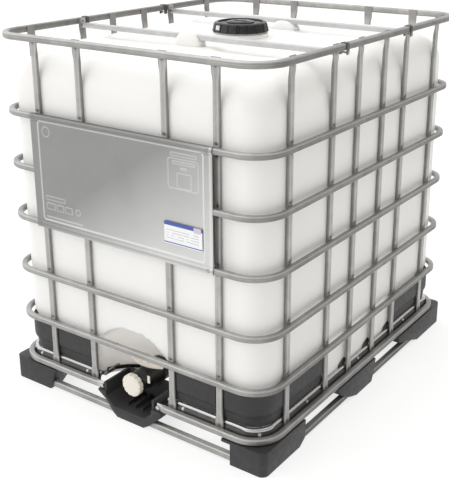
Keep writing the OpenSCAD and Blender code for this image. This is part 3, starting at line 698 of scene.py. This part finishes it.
def build_bar_lug(name, x, y, top, tall):
    """Moulded lug at a cross bar, tall mm high over the bottle's top; it narrows upward."""
    rows = []
    for t in np.linspace(0, 1, 11):
        half_x = (50 - 30 * t ** 2.2) * MM
        half_y = (25 - 6 * t ** 3) * MM
        if t > 0.9:
            half_x, half_y = half_x - 4 * MM, half_y - 4 * MM
        height = top - 2 * MM + (tall + 2) * MM * t
        row = []
        for b in np.linspace(0, 2 * math.pi, 48, endpoint=False):
            c, s = math.cos(b), math.sin(b)
            row.append((x + half_x * math.copysign(abs(c) ** 0.5, c),
                        y + half_y * math.copysign(abs(s) ** 0.5, s), height))
        rows.append(row)
    lofted(name, rows, white, "hdpe_white", sharp=60)


# -------------------- CAD pieces that still show, plain or softened

looks = {"hdpe_white": white, "rubber": seal, "black_plastic": black, "white_trim": white,
         "steel": tube_steel, "fastener": zinc, "plate_steel": plate_steel, "tray_steel": tray_steel,
         "cream_plastic": cream}


def soften(node, width, material, segments=2, limit=30.0):
    """A copy of a CAD node with rounded edges, standing for it."""
    name = node + "_part"
    mesh = nodes[node].data.copy()
    bm = bmesh.new()
    bm.from_mesh(mesh)
    bmesh.ops.remove_doubles(bm, verts=bm.verts, dist=1e-6)
    bmesh.ops.dissolve_limit(bm, angle_limit=math.radians(0.6), verts=bm.verts, edges=bm.edges)
    bm.to_mesh(mesh)
    bm.free()
    mesh.materials.clear()
    mesh.materials.append(material)
    made = add_object(name, mesh)
    bevel = made.modifiers.new("edges", "BEVEL")
    bevel.width = width
    bevel.segments = segments
    bevel.limit_method = "ANGLE"
    bevel.angle_limit = math.radians(limit)
    bevel.use_clamp_overlap = True
    shaped = bpy.data.meshes.new_from_object(made.evaluated_get(bpy.context.evaluated_depsgraph_get()))
    made.modifiers.clear()
    made.data = shaped
    shaped.name = name
    shade_smooth(shaped, 32)
    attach(made, body_of[node])
    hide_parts(node)


def dress_cad():
    """Every CAD node that still shows takes the finish of its slot."""
    for name, node in nodes.items():
        look = looks.get(slot_of[name])
        if look:
            node.data.materials.clear()
            node.data.materials.append(look)


# -------------------- label plate

def rounded_gap(x, z, box, corner):
    """Signed distance from the outline of a rounded rectangle given as (x0, z0, x1, z1)."""
    x0, z0, x1, z1 = box
    qx = np.abs(x - (x0 + x1) / 2) - (x1 - x0) / 2 + corner
    qz = np.abs(z - (z0 + z1) / 2) - (z1 - z0) / 2 + corner
    outside = np.hypot(np.maximum(qx, 0), np.maximum(qz, 0))
    return outside + np.minimum(np.maximum(qx, qz), 0) - corner


def build_plate():
    low, high = plate_low, plate_high
    front = low.y
    ring_low, ring_high = RING_Z["cage_ring_3"], RING_Z["cage_ring_1"]
    hem_half, groove_off = 10.6 * MM, 3.4 * MM
    x, z = np.meshgrid(np.linspace(low.x, high.x, 300), np.linspace(low.z, high.z, 190))
    right_fold, left_fold = x - (high.x - 6 * MM), x - (low.x + 5 * MM)
    frame_box = (low.x + 32 * MM, ring_low + 19 * MM, high.x - 28 * MM, ring_high - 9 * MM)
    field = rounded_gap(x, z, frame_box, 9 * MM)
    rise = 2.2 * MM * bump_at(field, 2.6 * MM)
    # hems rolled over the upper and lower tubes, with their grooves
    for tube in (ring_low, ring_high):
        across = np.clip((z - tube) / hem_half, -1, 1)
        hem = (np.abs(z - tube) < hem_half)
        rise += hem * (2.4 * MM * (1 - across ** 2) - 9 * MM * np.clip(np.abs(across) - 0.72, 0, 1) ** 2 * 8)
        rise -= hem * 0.9 * MM * bump_at(np.abs(z - tube) - groove_off, 1.5 * MM)
    # hatching pressed into the lower lip
    lip = bump_at(z - (ring_low + 13.5 * MM), 4 * MM)
    rise += 0.7 * MM * lip * np.sin((x + z) * 2 * math.pi / (9 * MM))
    # folded strip along both side edges
    below_hem = z < ring_high - 12 * MM
    rise += 1.6 * MM * bump_at(right_fold, 3 * MM) * below_hem
    rise += 1.0 * MM * bump_at(left_fold, 3 * MM) * below_hem
    # plain pressed shapes in mm: a box in a box, bars and blocks, and two rings
    # the pressed shapes' outlines get painted highlights
    ridge_highlight = np.zeros_like(x)
    for box, corner in (((183, 794, 285, 878), 8), ((214, 797, 261, 839), 3)):
        line = bump_at(rounded_gap(x, z, [v * MM for v in box], corner * MM), 1.5 * MM)
        rise += 1.0 * MM * line
        ridge_highlight = np.maximum(ridge_highlight, 0.36 * line)
    for block in ((193, 886, 279, 894), (199, 864, 274, 871), (226, 850, 246, 855),
                  (-298, 667, -218, 678), (-296, 637, -262, 656), (-254, 637, -226, 656),
                  (-218, 637, -190, 656), (-300, 611, -150, 613)):
        edge_gap = rounded_gap(x, z, [v * MM for v in block], 1.5 * MM)
        rise += 0.8 * MM * smooth(-edge_gap, -1.2 * MM, 1.0 * MM)
        ridge_highlight = np.maximum(ridge_highlight, 0.42 * bump_at(edge_gap, 1.3 * MM))
    for cx, cz, r in ((-281, 878, 15), (-166, 648, 9)):
        line = bump_at(np.hypot(x - cx * MM, z - cz * MM) - r * MM, 1.5 * MM)
        rise += 0.9 * MM * line
        ridge_highlight = np.maximum(ridge_highlight, 0.4 * line)
    # painted highlights on the pressed outlines, the frame's bead and the right fold
    painted_highlight = ridge_highlight + 0.75 * bump_at(field, 2.2 * MM) + 0.5 * bump_at(right_fold, 3 * MM)
    # grooves and corner welds are darker
    scorch_and_shade = 0.5 * (np.abs(z - ring_high) < groove_off) + 0.35 * (np.abs(z - ring_low) < groove_off)
    for wx in (low.x + 16 * MM, high.x - 16 * MM):
        for wz in (ring_low, ring_high):
            scorch_and_shade = np.maximum(scorch_and_shade, 0.9 * bump_at(np.hypot(x - wx, z - wz) - 4 * MM, 1.5 * MM))
    # front and back skins, stitched together around their edge
    y = front + 1.4 * MM - rise
    verts, faces = loft(np.stack([x, y, z], -1), closed=False)
    behind = np.stack([x, np.minimum(y + 1.3 * MM, front + 2.6 * MM), z], -1)
    count = len(verts)
    rows, width = x.shape
    faces = faces + [tuple(i + count for i in reversed(f)) for f in faces]
    edge = list(range(width)) + [r * width + width - 1 for r in range(1, rows)]
    edge += [(rows - 1) * width + c for c in range(width - 2, -1, -1)]
    edge += [r * width for r in range(rows - 2, 0, -1)]
    faces += [(a, a + count, b + count, b) for a, b in zip(edge, edge[1:] + edge[:1])]
    marks = {"painted_highlight": np.tile(painted_highlight.reshape(-1), 2), "scorch_and_shade": np.tile(scorch_and_shade.reshape(-1), 2)}
    piece("plate_sheet", np.concatenate([verts, behind.reshape(-1, 3)]), faces, plate_steel, "plate_steel",
          replaces=("label_plate", "plate_welds"), sharp=60, marks=marks)
    for end, z0, z1 in (("top", high.z - 1.4 * MM, high.z), ("bottom", low.z, low.z + 1.4 * MM)):
        box_piece(f"plate_fold_{end}", (low.x, front + 3 * MM, z0), (high.x, high.y, z1),
                  plate_steel, "plate_steel", 0.4 * MM)


def build_sticker():
    low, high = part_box("label_sticker")
    box_piece("sticker_film", low - Vector((0, 2.6 * MM, 0)), high - Vector((0, 2.0 * MM, 0)),
              sticker("label_print", low, high), "sticker", 0.2 * MM, ("label_sticker",))


# -------------------- pallet

def corner_path(sx, sy, x_from, y_from):
    """The path's stretch round one corner, from a place on a short side to one on a long side."""
    points, normals = cage_path(0.0, step=4 * MM, arc=24)
    keep = [i for i, p in enumerate(points) if sx * p[0] > 0 and sy * p[1] > 0
            and (abs(p[0]) >= x_from and abs(p[1]) >= RING_Y - 1e-6 or abs(p[1]) >= y_from
                 and abs(p[0]) > RING_X - CORNER_R - 1e-6)]
    return points[keep], normals[keep]


def build_protector(name, sx, sy):
    """Moulded guard round one corner, set back where it passes the uprights."""
    low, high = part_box(name)
    spots = crossings()
    # heights over its foot and places in from the cage's path, both in mm
    profile = [(0, 25.0), (3, 21.5), (10, 20.4), (24, 20.0), (31, 19.6), (34, 17.6), (37, 15.4), (44, 14.5)]
    profile += [(60, 14.5), (80, 14.5), (100, 14.5), (106, 14.6), (109, 15.6), (110.5, 17.5), (110.5, 25.0)]
    rows = []
    for point, normal in zip(*corner_path(sx, sy, 151 * MM, 235 * MM)):
        near = np.linalg.norm(spots - point, axis=1).min()
        channel = float(smooth(-near, -17 * MM, -14 * MM))
        turn = 1 - abs(abs(normal[0]) - abs(normal[1]))
        row = []
        for up, k in profile:
            tuck = 9.0 * turn * max(0.0, (46 - up) / 46) ** 1.5
            k = min(25.0, max(k + tuck, 20.35 * channel if k < 20.35 else k))
            row.append(inward(point, normal, k, min(low.z + up * MM, high.z)))
        rows.append(row + [inward(point, normal, 25.2, z) for z in (high.z, low.z)])
    lofted(name + "_panel", rows, black, "black_plastic", replaces=(name,), sharp=50)


def build_tray():
    """Rolled bead with jogs at the corners, dark skirt, low wall, floor and the lips around the valve."""
    floor = FLOOR_Z
    points, normals = cage_path(0.0, arc=20)
    open_x = 131 * MM
    points, normals = leave_open(points, normals, -RING_Y + 1 * MM, open_x)
    angles = np.linspace(0, 2 * math.pi, 14, endpoint=False)
    bead, skirt, wall = [], [], []
    # k is mm in from the path, and up is mm over the floor
    for point, normal in zip(points, normals):
        jog = float(smooth(1 - abs(abs(normal[0]) - abs(normal[1])), 0.02, 0.35))
        r, k, up = 7.0 + 1.0 * jog, 23.0 - 2.5 * jog, 11 - 1.5 * jog
        bead.append([inward(point, normal, k + r * math.cos(a), floor + (up + r * math.sin(a)) * MM)
                     for a in angles])
        skirt.append([inward(point, normal, k, floor + up * MM) for k, up in (
            (21.8 - 4 * jog, 7), (20.0 - 4 * jog, 7.4), (16.6 - 1 * jog, 2), (13.2, -5), (13.2, -18),
            (14.4, -18), (14.4, -5.4), (18.0 - 1 * jog, 1.4))])
        wall.append([inward(point, normal, k, floor + up * MM)
                     for k, up in ((31.2, -1), (30.0, -1), (30.0, 13), (31.2, 13))])
    # the bead and skirt take a lighter and a darker copy of the tray's steel: painted highlight on the bead,
    # painted shade on the skirt
    lofted("tray_bead", bead, bright_steel, "tray_steel", sharp=45)
    lofted("tray_skirt", skirt, dark_steel, "tray_steel", sharp=45)
    lofted("tray_wall", wall, tray_steel, "tray_steel", sharp=45, replaces=("base_tray",))
    # floor with the slot that the valve stands in
    slot = valve_slot()
    loop = [inward(p, n, FLOOR_IN, 0)[:2] for p, n in zip(points, normals)]
    split = next(i for i, p in enumerate(loop) if p[0] >= open_x - 3 * MM)
    edge = loop[split:] + loop[:split] + slot[::-1]
    lofted("tray_floor", [[(x, y, z) for x, y in edge] for z in (floor - 1.2 * MM, floor)],
           tray_steel, "tray_steel")
    # lip folded up around the slot, on both sides of the outlet; in mm outward and up
    profile = [(0, -1), (-1.4, -1), (-1.4, 8), (-4.5, 11.5), (-3.6, 13.2), (0.8, 11.4), (0.4, 8)]
    for side, name in ((-1, "left"), (1, "right")):
        path = np.array([p for p in slot if side * p[0] > 62 * MM and p[1] > -545 * MM])
        along = np.gradient(path, axis=0)
        along /= np.linalg.norm(along, axis=1)[:, None]
        away = np.column_stack([along[:, 1], -along[:, 0]])
        rows = [[inward(p, n, d, floor + h * MM) for d, h in profile] for p, n in zip(path, away)]
        lofted(f"tray_lip_{name}", rows, tray_steel, "tray_steel")
        # black moulded lip outside it, under the edge of the bottle's scoop
        rows = [[(side * (159 + d) * MM * math.cos(a), SCOOP_Y + (159 + d) * MM * math.sin(a),
                  floor + h * MM) for d, h in profile] for a in np.linspace(0.42, 1.22, 24)]
        lofted(f"scoop_lip_{name}", rows, black_gloss, "black_plastic")


def valve_slot():
    """Edge of the slot in the tray, from the right front corner round the back to the left one."""
    half, back, bend = 130 * MM, -430 * MM, 55 * MM
    right = [(half, y) for y in np.linspace(-(RING_Y - FLOOR_IN * MM), back - bend, 10)]
    for a in np.radians(np.linspace(8, 90, 12)):
        right.append((half - bend + bend * math.cos(a), back - bend + bend * math.sin(a)))
    return right + [(-x, y) for x, y in reversed(right)]


def hex_bolt(name, place, normal, radius=4.2 * MM):
    """Small hexagon-headed bolt with a washer, standing on a surface."""
    rows = []
    turn = Vector(normal).normalized().to_track_quat("Z", "Y")
    # radius and height as shares of the bolt's radius, and whether the row is a hexagon
    for r, h, flats in ((1.25, 0, False), (1.25, 0.18, False), (0.9, 0.2, True), (0.92, 0.75, True),
                        (0.78, 0.9, True), (0.0, 0.92, True)):
        row = []
        for i in range(24):
            a = 2 * math.pi * i / 24
            reach = r / max(abs(math.cos((a % (math.pi / 3)) - math.pi / 6)), 0.86) if flats else r
            local = Vector((radius * reach * math.cos(a), radius * reach * math.sin(a), radius * h))
            row.append(tuple(Vector(place) + turn @ local))
        rows.append(row)
    lofted(name, rows, zinc, "fastener", sharp=30)


def build_small_steel():
    """Bolts through the tray's skirt."""
    skirt_in, z = 16.5 * MM, FLOOR_Z + 2 * MM
    for i, (x, side) in enumerate([(-194, -1), (194, -1), (-400, -1), (-194, 1), (194, 1)]):
        hex_bolt(f"skirt_bolt_front_{i}", (x * MM, side * (RING_Y - skirt_in), z), (0, side, 0.7))
    for i, (side, y) in enumerate([(1, -8), (1, -330), (1, 330), (-1, -8), (-1, 330)]):
        hex_bolt(f"skirt_bolt_side_{i}", (side * (RING_X - skirt_in), y * MM, z), (side, 0, 0.7))
    off = (CORNER_R - 14 * MM) * 0.707
    for i, (sx, sy) in enumerate(((1, -1), (-1, -1), (1, 1), (-1, 1))):
        place = (sx * (RING_X - CORNER_R + off), sy * (RING_Y - CORNER_R + off), FLOOR_Z)
        hex_bolt(f"skirt_bolt_corner_{i}", place, (sx, sy, 1.0))


def build_side_pads():
    """Moulded wedges between the tray's edge and the uprights on the long sides."""
    for side, name in ((1, "right"), (-1, "left")):
        for index, y in enumerate(SIDE_YS[1:5]):
            rows = []
            for t in np.linspace(0, 1, 13):
                along = y - 44 * MM + 40 * MM * t
                tall = (3 + 17 * math.sin(math.pi * min(1.0, 0.12 + 0.88 * t) * 0.5)) * MM
                deep = (3 + 5 * t) * MM
                loop = []
                for a in np.linspace(0, 2 * math.pi, 16, endpoint=False):
                    out = RING_X - 20.5 * MM - deep / 2 + deep / 2 * math.cos(a)
                    loop.append((side * out, along, TRAY_TOP + tall / 2 + tall / 2 * math.sin(a)))
                rows.append(loop)
            lofted(f"side_pad_{name}_{index}", rows, black_gloss, "black_plastic")


# -------------------- lid, valve and top bars

def notches(count, width_deg, depth, rows):
    """Ripple for a lathe: grip notches cut into the given profile rows."""
    def ripple(angles, index):
        if index not in rows:
            return np.zeros_like(angles)
        step = 2 * math.pi / count
        off = np.abs((angles + step / 2) % step - step / 2)
        return -depth * smooth(-off, -math.radians(width_deg) * 0.65, -math.radians(width_deg) * 0.4)
    return ripple


def build_lid():
    low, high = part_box("screw_lid")
    z0, z1 = low.z, high.z
    r = (high.x - low.x) / 2 / MM
    profile = [(82.7, z0), (r - 0.6, z0), (r, z0 + 0.8 * MM), (r, z0 + 3 * MM), (r - 1.6, z0 + 6 * MM),
               (r - 4, z0 + 18 * MM), (r - 5.2, z1 - 8 * MM), (r - 5.8, z1 - 6 * MM),
               (r - 7.4, z1 - 3.6 * MM), (r - 10, z1 - 1.6 * MM), (r - 13, z1 - 0.5 * MM), (r - 16, z1),
               (r - 18, z1 - 0.8 * MM),
               (r - 18.8, z1 - 2.5 * MM), (r - 19, z1 - 5 * MM), (46, z1 - 5 * MM), (44.4, z1 - 4.4 * MM),
               (44, z1 - 1 * MM), (43, z1 - 0.1 * MM), (36.8, z1 - 0.1 * MM), (36, z1 - 0.8 * MM),
               (36, z1 - 3 * MM), (27, z1 - 3 * MM), (27, z1 - 8 * MM), (82.7, z1 - 8 * MM)]
    lathe("lid_cap", profile, (LID.x, LID.y, 0), "Z", black_gloss, "black_plastic", segments=432,
          ripple=notches(18, 5.0, 3.2, range(2, 8)), body=body_of["screw_lid"],
          replaces=("screw_lid",), sharp=25)
    # small white label on the lid's skirt, following its taper
    arc = [math.radians(243 + 13 * i / 10) for i in range(11)]
    rows = []
    for z in np.linspace(z0 + 8 * MM, z1 - 8 * MM, 8):
        taper = [z0 + 3 * MM, z0 + 6 * MM, z0 + 18 * MM, z1 - 8 * MM]
        reach = np.interp(z, taper, [r, r - 1.6, r - 4, r - 5.2]) + 0.9
        row = [(reach * MM * math.cos(a), reach * MM * math.sin(a), z) for a in arc]
        row += [((reach - 0.8) * MM * math.cos(a), (reach - 0.8) * MM * math.sin(a), z) for a in arc[::-1]]
        rows.append(row)
    lofted("lid_label", rows, white, "white_trim", body=body_of["screw_lid"])
    soften("seal_tab", 0.4 * MM, white)
    soften("vent_plug", 0.7 * MM, black_gloss)


def build_valve():
    low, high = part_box("dust_cap")
    y0, y1 = low.y, high.y
    cap_r = 36.0
    face = y0 + 1.2 * MM
    profile = [(0.5, y0), (27.5, y0), (29.4, y0 + 0.4 * MM), (30, y0 + 1.2 * MM), (32.6, face),
               (34.6, face + 0.5 * MM), (35.8, face + 1.8 * MM), (cap_r, face + 3.5 * MM),
               (cap_r, y1 - 2.5 * MM), (35.2, y1 - 1.0 * MM), (34.4, y1), (31.2, y1),
               (31.2, face + 4.5 * MM), (0.5, face + 4.5 * MM)]
    lathe("cap_shell", profile, (0, 0, VALVE.z), "Y", cream, "cream_plastic", segments=288,
          ripple=notches(12, 7.0, 2.6, range(4, 11)), body=body_of["dust_cap"],
          replaces=("dust_cap",), sharp=28)
    soften("valve_handle", 2.2 * MM, cream, segments=3)
    soften("valve_body", 1.2 * MM, black_gloss)
    soften("union_nut", 1.0 * MM, black_gloss)
    soften("guard_bolts", 0.6 * MM, zinc)
    # apron from the bowl's back edge, under the union nut
    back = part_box("valve_guard")[1].y
    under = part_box("union_nut")[0].z
    box_piece("guard_apron", (-100 * MM, back - 3 * MM, under - 8 * MM),
              (100 * MM, back + 39 * MM, under - 5 * MM), black, "black_plastic", 1.0 * MM)
    # small sealing tag on the valve body, and its strap
    box_piece("valve_tag", (47 * MM, -562 * MM, 133 * MM), (57 * MM, -559 * MM, 158 * MM),
              cream, "white_trim", 1.0 * MM)
    box_piece("valve_tag_strap", (28 * MM, -561.4 * MM, 138 * MM), (49 * MM, -559.6 * MM, 143 * MM),
              black, "black_plastic", 0.5 * MM)


def build_bars():
    for node in ("front_cross_bar", "rear_cross_bar"):
        soften(node, 2.4 * MM, bar_steel, segments=3, limit=40)
    soften("bar_brackets", 0.6 * MM, dark_steel)
    soften("bar_bolts", 0.6 * MM, zinc)
    height = middle("bar_bolts").z
    for sx in (-1, 1):
        for sy in (-1, 1):
            place = (sx * (RING_X + EDGE_R + 1.9 * MM), sy * (BAR_Y - 26 * MM), height)
            hex_bolt(f"bracket_bolt_{sx + 1}_{sy + 1}", place, (sx, 0, 0))


# -------------------- build

dress_cad()
build_cage()
build_bottle()
build_plate()
build_sticker()
for end, front in (("front", -1), ("rear", 1)):
    build_protector(f"protector_{end}_left", -1, front)
    build_protector(f"protector_{end}_right", 1, front)
build_tray()
build_small_steel()
build_side_pads()
build_lid()
build_valve()
build_bars()
for foot in ("foot_front_left", "foot_front_right", "foot_rear_left", "foot_rear_right",
             "foot_mid_left", "foot_mid_right", "foot_mid_rear", "valve_guard"):
    soften(foot, 3 * MM, black)
for node in ("deck_beams", "tray_rivets", "foot_bolts"):
    soften(node, 0.5 * MM, looks[slot_of[node]])


# -------------------- floor, light, camera

def build_stage():
    """Plain pale floor, whose own glow keeps it near white."""
    size = 30.0
    mesh = bpy.data.meshes.new("floor")
    corners = [(-size, -size, 0), (size, -size, 0), (size, size, 0), (-size, size, 0)]
    mesh.from_pydata(corners, [], [(0, 1, 2, 3)])
    s = Shader("floor_paint", Roughness=0.9, Specular_IOR_Level=0.1, Emission_Color=(1.0, 1.0, 1.0, 1.0),
               Emission_Strength=0.72)
    s.set("Base Color", s.mix(s.noise(0.6, 2.0), 0.33, 0.35))
    mesh.materials.append(s.material)
    add_object("floor", mesh)


def build_world():
    """Soft studio surroundings, darker towards +X than towards -X."""
    world = bpy.data.worlds.new("studio")
    bpy.context.scene.world = world
    world.use_nodes = True
    tree = world.node_tree
    background = tree.nodes["Background"]
    place = tree.nodes.new("ShaderNodeTexCoord").outputs["Generated"]
    axes = tree.nodes.new("ShaderNodeSeparateXYZ")
    tree.links.new(place, axes.inputs[0])
    side = tree.nodes.new("ShaderNodeMath")
    side.operation = "MULTIPLY_ADD"
    side.inputs[1].default_value = -0.5
    side.inputs[2].default_value = 0.5
    tree.links.new(axes.outputs[0], side.inputs[0])
    ramp = tree.nodes.new("ShaderNodeValToRGB")
    dark, pale = ramp.color_ramp.elements
    dark.position = 0.05
    dark.color = tone((0.33, 0.31, 0.285))
    pale.position = 0.80
    pale.color = tone(1.0)
    tree.links.new(side.outputs[0], ramp.inputs[0])
    tree.links.new(ramp.outputs[0], background.inputs["Color"])
    background.inputs["Strength"].default_value = 1.3


def area_light(name, place, target, size, power):
    """Square lamp at a place, aimed at a target."""
    data = bpy.data.lights.new(name, "AREA")
    data.shape = "RECTANGLE"
    data.size = data.size_y = size
    data.energy = power
    lamp = add_object(name, data)
    lamp.location = place
    lamp.rotation_euler = (Vector(target) - Vector(place)).to_track_quat("-Z", "Y").to_euler()


def build_camera():
    """The photograph's viewpoint, solved from the tube rings and the feet."""
    data = bpy.data.cameras.new("camera")
    camera = add_object("camera", data)
    yaw, pitch, roll = (math.radians(a) for a in (35.057, 18.433, -0.073))
    forward = Vector((-math.sin(yaw) * math.cos(pitch), math.cos(yaw) * math.cos(pitch), -math.sin(pitch)))
    camera.location = (1.6505, -2.3484, 1.537)
    camera.rotation_euler = forward.to_track_quat("-Z", "Y").to_euler()
    camera.rotation_euler.rotate_axis("Z", roll)
    data.sensor_width = 36.0
    data.lens = 67.12
    data.shift_x = -0.0354
    data.shift_y = -0.0975
    data.clip_end = 100
    bpy.context.scene.camera = camera


build_stage()
build_world()
area_light("key", (-1.6, -3.8, 3.4), (0, 0, 0.6), 2.6, 14)
area_light("top", (0.3, 0.2, 4.2), (0, 0, 0), 4.5, 60)
build_camera()
bpy.context.scene.view_settings.view_transform = "Standard"
